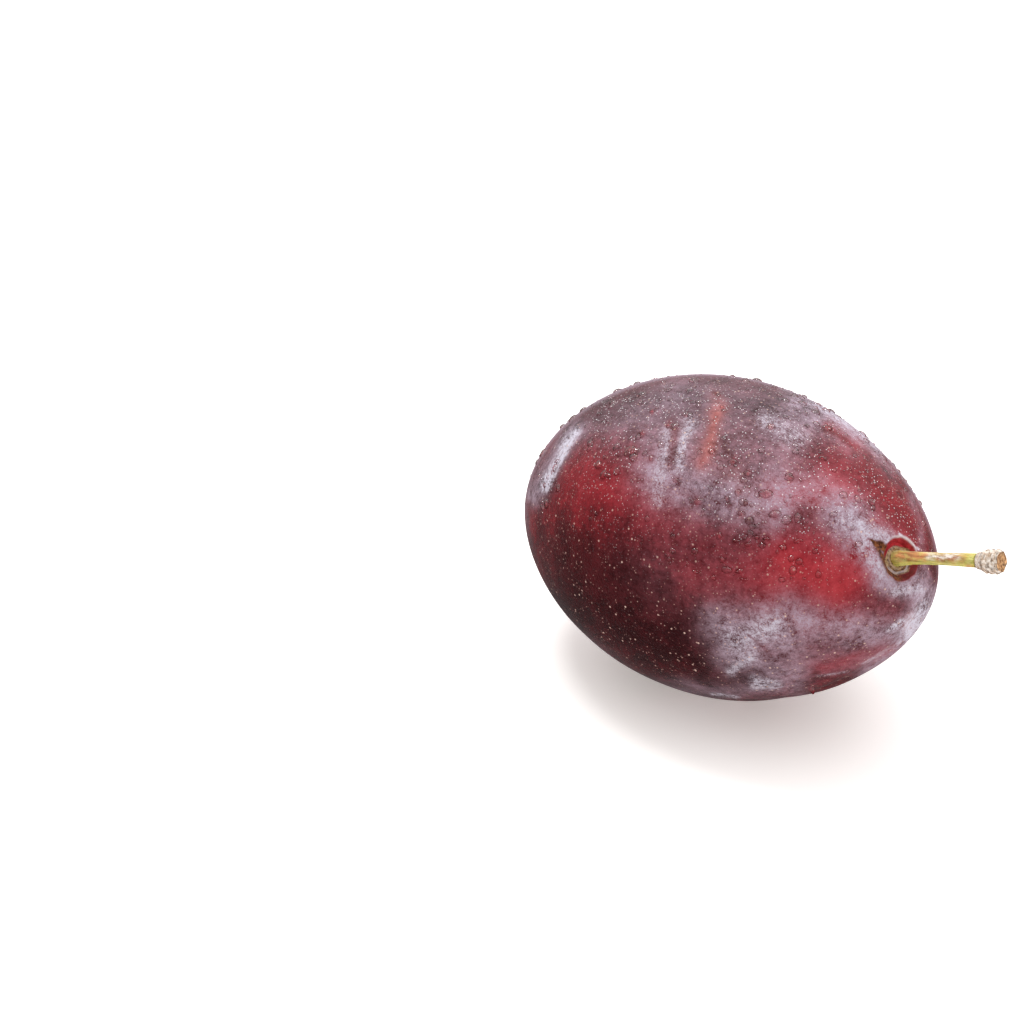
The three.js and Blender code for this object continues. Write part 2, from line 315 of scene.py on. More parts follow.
def egg(d):
    """Where a direction meets the smooth egg, in the fruit's own axes."""
    taper = 1 + STEM_END_TAPER * d[..., 0] + BOTH_ENDS_TAPER * d[..., 0] ** 2
    oval = 1 + OVAL_SHARE * np.cos(2 * (np.arctan2(d[..., 2], d[..., 1]) - OVAL_LEAN))
    girth = FRUIT_WIDTH / 2 * taper * oval
    return np.stack([FRUIT_LENGTH / 2 * d[..., 0], girth * d[..., 1], girth * d[..., 2]], -1)


def outward(d):
    slimmer = np.array([FRUIT_WIDTH / FRUIT_LENGTH, 1, 1])
    return unit(d * slimmer)


def turned(points):
    """From the fruit's own axes to the way it lies, with the stem end raised."""
    c, s = math.cos(STEM_END_RAISED), math.sin(STEM_END_RAISED)
    x, y, z = points[..., 0], points[..., 1], points[..., 2]
    return np.stack([x * c - z * s, y, x * s + z * c], -1)


def at_rest(points):
    return turned(points) + FRUIT_CENTRE


def level_down(out):
    """Straight down, laid on the plane that this direction stands on."""
    return unit(out * out[2] - UP)


CAVITY_AT = direction(CAVITY_FROM_TIP, CAVITY_TURN)
CAVITY_MIDDLE = egg(CAVITY_AT)
CAVITY_OUT = outward(CAVITY_AT)
CAVITY_DOWN = level_down(CAVITY_OUT)
CAVITY_ACROSS = np.cross(CAVITY_DOWN, CAVITY_OUT)
BLOSSOM_AT = -CAVITY_AT
BLOSSOM_MIDDLE = egg(BLOSSOM_AT)
SUTURE_ACROSS = np.array([0, -math.sin(SUTURE_TURN), math.cos(SUTURE_TURN)])
SUTURE_SIDE = np.array([0, math.cos(SUTURE_TURN), math.sin(SUTURE_TURN)])


def in_cavity(points):
    """Each point's distance from the cavity's axis, and how far it lies along and across the split."""
    arm = points - CAVITY_MIDDLE
    along, across = arm @ CAVITY_DOWN, arm @ CAVITY_ACROSS
    c, s = math.cos(SPLIT_TURN), math.sin(SPLIT_TURN)
    reach = np.where(points[..., 0] > 0, np.hypot(along, across), FRUIT_LENGTH)
    return reach, along * c + across * s, across * c - along * s


def split_share(points):
    _, along, across = in_cavity(points)
    end = np.clip(1 - along / SPLIT_LENGTH, 0, 1)
    width = SPLIT_END_WIDTH + (SPLIT_WIDTH - SPLIT_END_WIDTH) * end
    return np.where((along > 0) & (points[..., 0] > 0), end * dip(across, width), 0)


def cavity_depth(points):
    reach, _, _ = in_cavity(points)
    funnel = 1 - smoothstep(reach, CAVITY_FLOOR_RADIUS, CAVITY_RIM_RADIUS)
    corky = smoothstep(reach, CORK_RINGS_FROM, CORK_RINGS_FROM + CORK_RING_SPACING)
    corky = corky * (1 - smoothstep(reach, CORK_RINGS_TO, CORK_RINGS_TO + CORK_RING_SPACING))
    rings = CORK_RING_HEIGHT * corky * np.cos(2 * math.pi * reach / CORK_RING_SPACING)
    sunk = np.maximum(CAVITY_DEPTH * funnel, SPLIT_DEPTH * split_share(points))
    return SHOULDER_DEPTH * dip(reach, SHOULDER_RADIUS) + sunk - rings


def suture_share(d, points):
    bow = SUTURE_BOW * dip(np.linalg.norm(points - CAVITY_MIDDLE, axis=-1), SUTURE_BOW_REACH)
    to_scar = BLOSSOM_AT @ SUTURE_ACROSS * FRUIT_WIDTH / 2
    end = to_scar * dip(np.linalg.norm(points - BLOSSOM_MIDDLE, axis=-1), SHOULDER_RADIUS)
    across = d @ SUTURE_ACROSS * FRUIT_WIDTH / 2 - bow - end
    return smoothstep(d @ SUTURE_SIDE, 0, SUTURE_FADE) * dip(across, SUTURE_HALF_WIDTH)


def blossom_rise(points):
    reach = np.linalg.norm(points - BLOSSOM_MIDDLE, axis=-1)
    return POINT_HEIGHT * dip(reach, POINT_RADIUS) - SCAR_DEPTH * dip(reach, SCAR_RADIUS)


def noise_at(points, size, seed=0):
    """Smooth noise from -1 to 1 at each point, three values a point, with humps of about this size."""
    shift = Vector((seed * 17.3, seed * 5.1, seed * 11.7))
    flat = (points / size).reshape(-1, 3)
    values = [noise.noise_vector(Vector(p) + shift) for p in flat]
    return np.array(values).reshape(points.shape)


def skin(d):
    points = egg(d)
    rise = blossom_rise(points) - SUTURE_DEPTH * suture_share(d, points)
    rise = rise + WAVE_HEIGHT * noise_at(points, WAVE_LENGTH)[..., 0]
    depth = cavity_depth(points)
    return points + outward(d) * rise[..., None] - CAVITY_OUT * depth[..., None]


def ring_angles():
    """How far each ring of the skin is from the cavity's axis."""
    tip_width = FRUIT_WIDTH / 2 * (1 + STEM_END_TAPER + BOTH_ENDS_TAPER)
    close = np.arange(CAVITY_RING_STEP, CLOSE_RINGS_TO, CAVITY_RING_STEP)
    angles = list(np.arcsin(close / tip_width))
    step = CAVITY_RING_STEP / tip_width
    widest = BODY_RING_STEP / (FRUIT_LENGTH / 2)
    while angles[-1] + step < math.pi:
        angles.append(angles[-1] + step)
        step = min(step * 1.05, widest)
    return np.array(angles)


def turns_round(sides):
    """The turn of each point of an even ring."""
    return np.arange(sides) * 2 * math.pi / sides


def closed_faces(rings, sides):
    """Faces of a closed surface: rings of points, with the first and last point over the end rings."""
    first, last = rings * sides, rings * sides + 1
    side = np.arange(sides)
    following = (side + 1) % sides
    faces = [(first, b, a) for a, b in zip(side, following)]
    for ring in range(rings - 1):
        here, beyond = ring * sides, (ring + 1) * sides
        faces += list(zip(here + side, here + following, beyond + following, beyond + side))
    end = (rings - 1) * sides
    faces += [(last, end + a, end + b) for a, b in zip(side, following)]
    return [tuple(int(v) for v in face) for face in faces]


def new_object(name, data):
    thing = bpy.data.objects.new(name, data)
    bpy.context.scene.collection.objects.link(thing)
    return thing


def new_piece(name, points, faces, material):
    """A smooth mesh object from points in millimetres, with its material."""
    mesh = bpy.data.meshes.new(name)
    mesh.from_pydata((points * MM).tolist(), [], faces)
    mesh.shade_smooth()
    mesh.materials.append(material)
    return new_object(name, mesh)


def paint(piece, layer, values):
    """Stores a layer of the finish on the piece, a number for each point."""
    attribute = piece.data.attributes.new(layer, "FLOAT", "POINT")
    attribute.data.foreach_set("value", np.clip(values, 0, 1).astype(np.float32))


def vectors_of(items, key):
    """A vector from each item of a mesh, as rows of an array."""
    flat = np.empty(len(items) * 3, np.float32)
    items.foreach_get(key, flat)
    return flat.reshape(-1, 3)


def points_of(piece):
    return vectors_of(piece.data.vertices, "co") / MM


def normals_of(piece):
    return vectors_of(piece.data.vertex_normals, "vector")


# The noise is the same at each run.
noise.seed_set(NOISE_SEED)

# The camera's axes and place
CAMERA_BACK = np.array([
    math.sin(CAMERA_TURN) * math.cos(CAMERA_RISE),
    -math.cos(CAMERA_TURN) * math.cos(CAMERA_RISE),
    math.sin(CAMERA_RISE),
])
CAMERA_RIGHT = np.array([math.cos(CAMERA_TURN), math.sin(CAMERA_TURN), 0])
CAMERA_UP = np.cross(CAMERA_BACK, CAMERA_RIGHT)
PIXELS_A_UNIT = LENS / SENSOR * PHOTO_SIDE
CAMERA_PLACE = (
    FRUIT_CENTRE
    + CAMERA_BACK * CAMERA_DISTANCE
    - CAMERA_RIGHT * (FRUIT_IN_PHOTO[0] - PHOTO_SIDE / 2) / PIXELS_A_UNIT * CAMERA_DISTANCE
    + CAMERA_UP * (FRUIT_IN_PHOTO[1] - PHOTO_SIDE / 2) / PIXELS_A_UNIT * CAMERA_DISTANCE
)


def in_photo(points):
    """The pixel at which each point shows, were nothing in front of it."""
    arm = points - CAMERA_PLACE
    depth = -(arm @ CAMERA_BACK)
    across = PHOTO_SIDE / 2 + PIXELS_A_UNIT * (arm @ CAMERA_RIGHT) / depth
    down = PHOTO_SIDE / 2 - PIXELS_A_UNIT * (arm @ CAMERA_UP) / depth
    return np.stack([across, down], -1)


def from_band(pixels, start, end):
    """Each pixel's distance from the line between two pixels."""
    start, line = np.array(start, float), np.array(end, float) - np.array(start, float)
    share = np.clip((pixels - start) @ line / max(line @ line, 1e-6), 0, 1)
    return np.linalg.norm(pixels - start - share[:, None] * line, axis=-1)


def with_marks(layer, values, marks, pixels, seen):
    """Adds a layer's marks to its values, on the side that the photograph shows."""
    for _, start, end, width, strength in marks.get(layer, []):
        share = abs(strength) * dip(from_band(pixels, start, end), width) * seen
        values = values * (1 - share) + share * (strength > 0)
    return values


def fill(tree, socket, value):
    if isinstance(value, bpy.types.NodeSocket):
        tree.links.new(value, socket)
    else:
        socket.default_value = value


def feed(tree, node, **values):
    """Gives each value to a node's input of that name, or of the number after an i."""
    for key, value in values.items():
        numbered = key[0] == "i" and key[1:].isdigit()
        fill(tree, node.inputs[int(key[1:]) if numbered else key.replace("_", " ")], value)
    return node


def put(tree, kind, options=None, **values):
    """Adds a node with its options and the values of its inputs."""
    node = tree.nodes.new(kind)
    for name, option in (options or {}).items():
        setattr(node, name, option)
    return feed(tree, node, **values)


def calc(tree, operation, *values, clamp=False):
    node = put(tree, "ShaderNodeMath", {"operation": operation, "use_clamp": clamp})
    for socket, value in zip(node.inputs, values):
        fill(tree, socket, value)
    return node.outputs[0]


def times(tree, first, second, clamp=False):
    return calc(tree, "MULTIPLY", first, second, clamp=clamp)


def eased(tree, value, low, high, to_low=0.0, to_high=1.0):
    """A number eased from one range to another."""
    return put(
        tree, "ShaderNodeMapRange", {"interpolation_type": "SMOOTHSTEP"}, Value=value,
        From_Min=low, From_Max=high, To_Min=to_low, To_Max=to_high,
    ).outputs[0]


def over(tree, share, below, above):
    """One colour laid over another."""
    node = put(tree, "ShaderNodeMix", {"data_type": "RGBA"}, i0=share, i6=below, i7=above)
    return node.outputs[2]


def between(tree, share, first, second):
    """A number between two others."""
    node = put(tree, "ShaderNodeMix", {"data_type": "FLOAT"}, i0=share, i2=first, i3=second)
    return node.outputs[0]


def layer_of(tree, name):
    return put(tree, "ShaderNodeAttribute", {"attribute_name": name}).outputs["Fac"]


NUMBER, VECTOR, GEOMETRY = "NodeSocketFloat", "NodeSocketVector", "NodeSocketGeometry"
MATERIAL, WHOLE_NUMBER = "NodeSocketMaterial", "NodeSocketInt"


def new_tree(name, tree_kind, inputs, outputs):
    """An empty node tree with its inputs, set where they have a value, and its outputs."""
    tree = bpy.data.node_groups.new(name, tree_kind)
    for label, kind, value in inputs:
        socket = tree.interface.new_socket(label, in_out="INPUT", socket_type=kind)
        if value is not None:
            socket.default_value = value
    for label, kind in outputs:
        tree.interface.new_socket(label, in_out="OUTPUT", socket_type=kind)
    return tree, tree.nodes.new("NodeGroupInput").outputs, tree.nodes.new("NodeGroupOutput")


def patches_group():
    """Soft patches: noise with an eased edge between a low and a high level."""
    sockets = [("Place", VECTOR, None), ("Scale", NUMBER, 1.0), ("Detail", NUMBER, 3.0)]
    sockets += [("Low", NUMBER, 0.4), ("High", NUMBER, 0.6)]
    group, given, result = new_tree("patches", "ShaderNodeTree", sockets, [("Mask", NUMBER)])
    spots = put(
        group, "ShaderNodeTexNoise", Vector=given["Place"],
        Scale=given["Scale"], Detail=given["Detail"], Roughness=0.6,
    )
    feed(group, result, Mask=eased(group, spots.outputs[0], given["Low"], given["High"]))
    return group


def dots_group():
    """Round dots of uneven size, strewn through space at so many in a millimetre each way."""
    sockets = [("Place", VECTOR, None), ("Scale", NUMBER, 1.2), ("Radius", NUMBER, 0.2)]
    masks = [("Mask", NUMBER), ("Pick", NUMBER)]
    group, given, result = new_tree("dots", "ShaderNodeTree", sockets, masks)
    cells = put(group, "ShaderNodeTexVoronoi", Vector=given["Place"], Scale=given["Scale"])
    pick = put(group, "ShaderNodeSeparateColor", Color=cells.outputs["Color"]).outputs[0]
    size = times(group, given["Radius"], eased(group, pick, 0.0, 1.0, 0.45, 1.2))
    share = calc(group, "DIVIDE", cells.outputs["Distance"], size)
    feed(group, result, Mask=eased(group, share, 1.0, 0.55), Pick=pick)
    return group


PATCHES, DOTS = patches_group(), dots_group()


def patches(tree, place, scale, low, high, detail=3.0):
    return put(
        tree, "ShaderNodeGroup", {"node_tree": PATCHES},
        Place=place, Scale=scale, Low=low, High=high, Detail=detail,
    ).outputs["Mask"]


def dots(tree, place, scale, radius):
    node = put(tree, "ShaderNodeGroup", {"node_tree": DOTS}, Place=place, Scale=scale, Radius=radius)
    return node.outputs["Mask"], node.outputs["Pick"]


def new_material(name):
    material = bpy.data.materials.new(name)
    material.use_nodes = True
    tree = material.node_tree
    return material, tree, tree.nodes["Principled BSDF"]


def in_millimetres(tree, stretch=(1, 1, 1), turn=0.0):
    """The piece's own coordinates in millimetres, squeezed along its axes for streaks."""
    place = put(tree, "ShaderNodeTexCoord").outputs["Object"]
    size = tuple(s / MM for s in stretch)
    if turn:
        place = put(tree, "ShaderNodeMapping", Vector=place, Rotation=(0, turn, 0)).outputs[0]
    return put(tree, "ShaderNodeMapping", Vector=place, Scale=size).outputs[0]


def bumped(tree, *heights):
    """A normal bumped by masks in turn, each with the height of its bumps in millimetres."""
    normal = {}
    for mask, height in heights:
        bump = put(tree, "ShaderNodeBump", Height=mask, Distance=height * MM, **normal)
        normal = {"Normal": bump.outputs[0]}
    return normal["Normal"]


def skin_material():
    """Dark red to crimson skin with pale dots, under a grey and a frosty bloom, rubbed off in places, with
    painted shade low on the left, painted white glints and a painted pale rim at its edges.
    """
    material, tree, shader = new_material("plum_skin")
    place = in_millimetres(tree)
    round_streaks = in_millimetres(tree, (0.6, 0.09, 0.09), STEM_END_RAISED)
    long_streaks = in_millimetres(tree, (0.08, 1.1, 1.1), STEM_END_RAISED)
    cloud = patches(tree, place, 0.3, 0.28, 0.72, 8.0)
    fine = patches(tree, place, 1.5, 0.3, 0.7, 6.0)
    grain = patches(tree, place, 5.0, 0.32, 0.68, 3.0)
    streaks = patches(tree, round_streaks, 1.0, 0.3, 0.7, 3.0)
    wipes = patches(tree, long_streaks, 1.0, 0.36, 0.64, 3.0)

    def swung(value, *parts):
        """A level moved up and down by masks, each with its swing."""
        for mask, swing in parts:
            value = calc(tree, "ADD", value, calc(tree, "MULTIPLY_ADD", mask, swing, -0.5 * swing))
        return value

    # The ripeness layer also carries painted shade on the lower left.
    ripeness_and_shade = swung(layer_of(tree, "ripeness_and_shade"), (cloud, 0.22), (fine, 0.16), (grain, 0.06), (streaks, 0.06))
    reds = put(tree, "ShaderNodeValToRGB", Fac=ripeness_and_shade)
    ramp = reds.color_ramp.elements
    ramp[0].color, ramp[1].color = SKIN_REDS[0.0], SKIN_REDS[1.0]
    for position in (0.3, 0.62):
        ramp.new(position).color = SKIN_REDS[position]
    amber = swung(0.85, (fine, 0.6), (grain, 0.3))
    amber = times(tree, layer_of(tree, "amber"), amber, clamp=True)
    colour = over(tree, amber, reds.outputs[0], AMBER)

    film = swung(1.0, (cloud, 0.75), (fine, 0.65), (streaks, 0.4), (wipes, 0.3), (grain, 0.6))
    film = times(tree, times(tree, layer_of(tree, "haze"), film), 0.72, clamp=True)
    # A pale rim where the skin turns away from view, stronger on its upward faces: partly the bloom seen
    # edge-on, partly a painted reflection of the bright surroundings.
    grazing = eased(tree, put(tree, "ShaderNodeLayerWeight", Blend=0.5).outputs["Facing"], 0.74, 1.0)
    rim = times(tree, times(tree, grazing, layer_of(tree, "painted_rim_share")), 0.7)
    film = calc(tree, "MAXIMUM", film, rim)
    colour = over(tree, film, colour, BLOOM_FILM)
    crust = swung(1.0, (fine, 1.1), (cloud, 0.6), (grain, 1.0))
    crust = eased(tree, times(tree, layer_of(tree, "frost"), crust), 0.0, 1.1, 0.0, 0.9)
    colour = over(tree, crust, colour, BLOOM_CRUST)

    dot, pick = dots(tree, place, 1.2, 0.175)
    small_dot, small_pick = dots(tree, place, 2.1, 0.2)
    small_dot = times(tree, small_dot, times(tree, small_pick, 0.7))
    dot = calc(tree, "MAXIMUM", times(tree, dot, swung(0.5, (pick, 0.8))), small_dot)
    dot = times(tree, dot, calc(tree, "MULTIPLY_ADD", layer_of(tree, "wet"), -0.6, 1.0))
    colour = over(tree, dot, colour, over(tree, pick, DOT_DULL, DOT_PALE))
    # Painted glints: white specks that stand for light caught in fine water, strongest where the wet skin
    # faces up.
    speck, spark = dots(tree, place, 2.9, 0.24)
    sparkle = calc(tree, "MULTIPLY_ADD", layer_of(tree, "sparkle"), 0.85, 0.04)
    speck = times(tree, speck, times(tree, sparkle, eased(tree, spark, 0.0, 0.6)))
    colour = over(tree, speck, colour, PAINTED_GLINT)

    cork_grain = patches(tree, place, 3.0, 0.35, 0.65, 4.0)
    wall = over(tree, fine, WALL_DARK, WALL_RED)
    wall = over(tree, times(tree, layer_of(tree, "shade"), 0.8), wall, WALL_SHADE)
    cork = over(tree, cork_grain, FLOOR_CORK_DARK, FLOOR_CORK_PALE)
    scorch = over(tree, cork_grain, SCORCH_DARK, SCORCH_BROWN)
    for layer, tint in (("wall", wall), ("cork", cork), ("lilac", LILAC_RING), ("scorch", scorch)):
        colour = over(tree, layer_of(tree, layer), colour, tint)

    rough = between(tree, film, calc(tree, "MULTIPLY_ADD", fine, 0.1, 0.28), 0.6)
    rough = between(tree, crust, rough, 0.75)
    rough = between(tree, layer_of(tree, "cork"), rough, 0.85)
    normal = bumped(tree, (cloud, 0.06), (grain, 0.015), (dot, 0.03), (speck, 0.05), (cork_grain, 0.02))
    feed(
        tree, shader, Base_Color=colour, Roughness=rough, Normal=normal, IOR=1.45, Specular_IOR_Level=0.14,
        Sheen_Weight=0.05, Sheen_Roughness=0.35, Sheen_Tint=SHEEN_TINT,
    )
    return material


def stem_material():
    """Green to yellow stalk with brown scuffs, frosted patches, a painted highlight along its upper edge and
    fine fibres along it.
    """
    material, tree, shader = new_material("stem_green")
    place = in_millimetres(tree)
    fibres = patches(tree, in_millimetres(tree, (0.3, 3.0, 3.0), STEM_RISE), 1.0, 0.3, 0.7, 4.0)
    blotches = patches(tree, place, 0.8, 0.35, 0.65, 4.0)
    flecks = patches(tree, in_millimetres(tree, (1.2, 2.6, 2.6), STEM_RISE), 1.0, 0.36, 0.6, 6.0)
    speck, _ = dots(tree, place, 2.2, 0.16)
    green = over(tree, fibres, STEM_GREEN, STEM_YELLOW)
    green = over(tree, times(tree, blotches, 0.5), green, STEM_CREAM)
    scuffed = calc(tree, "MULTIPLY_ADD", flecks, 0.8, 0.6)
    scuffed = times(tree, layer_of(tree, "tan"), scuffed, clamp=True)
    colour = over(tree, scuffed, green, over(tree, fibres, RUST_DARK, RUST))
    frosted = calc(tree, "MULTIPLY_ADD", flecks, -1.1, 1.25)
    frosted = times(tree, layer_of(tree, "frost"), frosted, clamp=True)
    colour = over(tree, frosted, colour, STEM_FROST)
    colour = over(tree, times(tree, speck, 0.6), colour, STEM_SPECK)
    normal = bumped(tree, (fibres, 0.06), (flecks, 0.05))
    feed(tree, shader, Base_Color=colour, Roughness=between(tree, fibres, 0.42, 0.62), Normal=normal)
    return material


def cork_material():
    """Pale corky rind with dark cracks and specks, brown underneath and on the cut face."""
    material, tree, shader = new_material("stem_cork")
    place = in_millimetres(tree)
    grain = patches(tree, place, 2.4, 0.3, 0.7, 5.0)
    cracks = patches(tree, in_millimetres(tree, (4.5, 1.0, 1.0), STEM_RISE), 1.0, 0.52, 0.66, 5.0)
    speck, _ = dots(tree, place, 2.8, 0.22)
    rind, inside = over(tree, grain, RIND_BROWN, RIND_PALE), over(tree, grain, CUT_DARK, CUT_TAN)
    colour = over(tree, layer_of(tree, "cut"), rind, inside)
    tan = layer_of(tree, "tan")
    for mask, share, tint in ((tan, 0.8, RIND_TAN), (cracks, 0.7, RIND_CRACK), (speck, 0.8, RIND_SPECK)):
        colour = over(tree, times(tree, mask, share), colour, tint)
    normal = bumped(tree, (grain, 0.1), (calc(tree, "SUBTRACT", 1.0, cracks), 0.08))
    feed(tree, shader, Base_Color=colour, Roughness=between(tree, grain, 0.95, 0.75), Normal=normal)
    return material


def water_material():
    """Clear water that lets light through to the skin under it, its rims darkened by painted shade."""
    material, tree, shader = new_material("water")
    facing = put(tree, "ShaderNodeLayerWeight", Blend=0.5).outputs["Facing"]
    # Painted shade: the rims turn dark crimson where the drop is seen edge-on, standing for the dark outline
    # its edges show.
    colour = over(tree, eased(tree, facing, 0.12, 0.6), WATER_CLEAR, WATER_RIM_SHADE)
    feed(
        tree, shader, Base_Color=colour, Roughness=0.02, IOR=1.33, Transmission_Weight=1.0,
        Coat_Weight=0.6, Coat_IOR=1.4, Coat_Roughness=0.02,
    )
    clear = put(tree, "ShaderNodeBsdfTransparent", Color=WATER_SHADOW)
    shadow = put(tree, "ShaderNodeLightPath").outputs["Is Shadow Ray"]
    either = put(tree, "ShaderNodeMixShader", i0=shadow, i1=shader.outputs[0], i2=clear.outputs[0])
    feed(tree, tree.nodes["Material Output"], Surface=either.outputs[0])
    return material


def floor_material():
    """A white table with a faint glow of its own, which keeps the shadow soft."""
    material, tree, shader = new_material("table_white")
    feed(
        tree, shader, Base_Color=TABLE_WHITE, Roughness=0.7, Specular_IOR_Level=0.2,
        Emission_Color=TABLE_GLOW, Emission_Strength=0.36,
    )
    return material


def make_fruit(material):
    """The fruit's skin as one fine closed surface, with its layers of colour and bloom."""
    angles = ring_angles()
    first = level_down(CAVITY_AT)
    second = np.cross(first, CAVITY_AT)
    turns = turns_round(SKIN_SEGMENTS)
    round_it = np.cos(turns)[:, None] * first + np.sin(turns)[:, None] * second
    sines, cosines = np.sin(angles)[:, None, None], np.cos(angles)[:, None, None]
    d = (cosines * CAVITY_AT + sines * round_it).reshape(-1, 3)
    d = unit(np.vstack([d, CAVITY_AT, BLOSSOM_AT]))
    points = at_rest(skin(d))
    points[:, 2] = np.maximum(points[:, 2], 0)
    piece = new_piece("fruit_skin", points, closed_faces(len(angles), SKIN_SEGMENTS), material)
    paint_fruit(piece, d, points)
    return piece


def paint_fruit(piece, d, points):
    """The layers of the skin: the photograph's marks on the side it shows, and noise on the hidden one."""
    smooth_egg = egg(d)
    normals = normals_of(piece)
    facing = normals @ CAMERA_BACK
    # Marks wander off their lines by some pixels, so that no edge is straight.
    wander = 9 * noise_at(points, 11, 1)[:, :2] + 4 * noise_at(points, 3.5, 2)[:, :2]
    seen = smoothstep(facing + 0.02 * wander[:, 0], -0.65, -0.12)
    exact = in_photo(points)
    pixels = exact + wander
    broad, middling = noise_at(points, 16, 3), noise_at(points, 6, 4)
    base = {
        "ripeness_and_shade": 0.22 + 0.35 * broad[:, 0] + 0.2 * middling[:, 0],
        "amber": smoothstep(broad[:, 1] + 0.4 * middling[:, 1], 0.5, 0.8) * 0.8,
        "haze": 0.42 + 0.5 * broad[:, 2] + 0.3 * middling[:, 2],
        "frost": smoothstep(middling[:, 1] - 0.5 * broad[:, 0], 0.25, 0.7) * 0.6,
    }
    shown = {"ripeness_and_shade": 0.36, "amber": 0.0, "haze": 0.0, "frost": 0.0}
    nearer = smoothstep(facing, -0.25, 0)
    washed = [
        dip(from_band(exact, drop.pixel, drop.pixel), WASHED_REACH * drop.width) for drop in LARGE_DROPS
    ]
    washed = np.max(washed, axis=0) * nearer
    for layer, values in base.items():
        values = np.clip(values, 0, 1) * (1 - seen) + shown[layer] * seen
        values = with_marks(layer, values, SKIN_MARKS, pixels, seen)
        values = with_marks(layer, values, FINE_MARKS, exact + 0.1 * wander, nearer)
        if layer == "haze":
            values = values * (1 - WASHED_SHARE * washed)
        if layer == "ripeness_and_shade":
            values = np.maximum(values, WASHED_RIPENESS * washed)
        paint(piece, layer, values)
    paint_cavity(piece, smooth_egg, exact, nearer)
    wet = smoothstep(normals[:, 2], 0.05, 0.6) * (0.35 + 0.65 * smoothstep(middling[:, 2], -0.3, 0.3))
    drops_here = with_marks("wet", wet, SKIN_MARKS, pixels, seen)
    paint(piece, "wet", drops_here * smoothstep(in_cavity(smooth_egg)[0], 5, 7))
    # The upward-facing share that strengthens the painted pale rim.
    paint(piece, "painted_rim_share", 0.04 + 0.96 * smoothstep(normals[:, 2], -0.3, 0.5))
    # Where the painted glints show: on wet skin, most where it faces up.
    paint(piece, "sparkle", wet * (0.25 + 1.1 * smoothstep(normals[:, 2], 0.35, 0.9)))


def paint_cavity(piece, smooth_egg, pixels, nearer):
    """The cavity's red wall, corky floor, pale rings and scorched edge, and the scar at the other end."""
    reach, along, across = in_cavity(smooth_egg)
    rough_edge = 0.3 * noise_at(smooth_egg, 0.9, 5)[:, 0]
    turn = np.arctan2(across, along) + SPLIT_TURN
    below, leftward = np.cos(turn), np.sin(turn)
    above = -below
    reach = reach + 0.5 * rough_edge
    cork_to = 2.05 - 0.55 * smoothstep(above, 0.1, 0.9)
    cork = 1 - smoothstep(reach, cork_to - 0.12, cork_to + 0.12)
    wall_to = 2.5 + 0.25 * smoothstep(below, 0, 0.6)
    wall = smoothstep(reach, cork_to - 0.1, cork_to + 0.1)
    wall = wall * (1 - smoothstep(reach, wall_to - 0.1, wall_to + 0.15))
    paint(piece, "wall", wall)
    paint(piece, "shade", wall * smoothstep(below, -0.3, 0.4))
    scar = dip(np.linalg.norm(smooth_egg - BLOSSOM_MIDDLE, axis=-1), SCAR_RADIUS)
    paint(piece, "cork", np.maximum(cork, scar))
    ring = dip(reach - 1.78, 0.16) * smoothstep(below, -0.1, 0.6) + 0.2 * dip(reach - 1.3, 0.12)
    pale_rim = 0.9 * dip(reach - 2.68, 0.14) * smoothstep(leftward, 0.3, -0.4) * smoothstep(above, -0.5, 0.3)
    paint(piece, "lilac", ring * 0.75 + pale_rim)
    edge = dip(reach - 2.45, 0.2 + 0.25 * smoothstep(leftward, -0.2, 0.8))
    edge = edge * (1 - 0.95 * smoothstep(above, 0.25, 0.7)) * (0.1 + 0.9 * smoothstep(leftward, 0.1, 0.6))
    dark_ring = 0.7 * dip(reach - 1.52, 0.12) * smoothstep(below, 0, 0.7)
    half_width = 0.1 + 0.62 * np.clip((SCORCH_TO - along) / (SCORCH_TO - CAVITY_RIM_RADIUS), 0, 1)
    wedge = 1 - smoothstep(np.abs(across + rough_edge), 0.5 * half_width, half_width)
    wedge = wedge * (along < SCORCH_TO) * smoothstep(along, 1.9, 2.3) * (reach < FRUIT_LENGTH / 2)
    scorch = np.maximum(edge, np.maximum(dark_ring, wedge))
    rough_pixels = pixels + 5 * rough_edge[:, None]
    paint(piece, "scorch", with_marks("scorch", scorch, FINE_MARKS, rough_pixels, nearer * (1 - cork)))


def stem_line():
    """The four guide points of the stem's middle line, and its heading."""
    out = turned(CAVITY_OUT)
    depth = CAVITY_DEPTH + SHOULDER_DEPTH + SOCKET_DEPTH - FITTING_GAP
    start = at_rest(CAVITY_MIDDLE - CAVITY_OUT * depth)
    level = math.cos(STEM_RISE)
    heading = np.array([level * math.cos(STEM_SWING), level * math.sin(STEM_SWING), math.sin(STEM_RISE)])
    bend = start + out * STEM_LENGTH / 4
    end = bend + heading * STEM_LENGTH * 3 / 4
    return [start, bend, end - heading * STEM_LENGTH / 3, end], heading


def curve_piece(name, guides):
    """One cubic curve through the first and last guide point."""
    curve = bpy.data.curves.new(name, "CURVE")
    curve.dimensions = "3D"
    spline = curve.splines.new("BEZIER")
    spline.bezier_points.add(1)
    first, second = spline.bezier_points
    for point, place, before, after in (
        (first, guides[0], 2 * guides[0] - guides[1], guides[1]),
        (second, guides[3], guides[2], 2 * guides[3] - guides[2]),
    ):
        point.handle_left_type = point.handle_right_type = "FREE"
        point.co, point.handle_left, point.handle_right = (Vector(v * MM) for v in (place, before, after))
    return new_object(name, curve)


def new_geometry_tree(name, inputs):
    """An empty geometry tree that has a material among its inputs."""
    inputs = [("Geometry", GEOMETRY, None), *inputs, ("Material", MATERIAL, None)]
    return new_tree(name, "GeometryNodeTree", inputs, [("Geometry", GEOMETRY)])


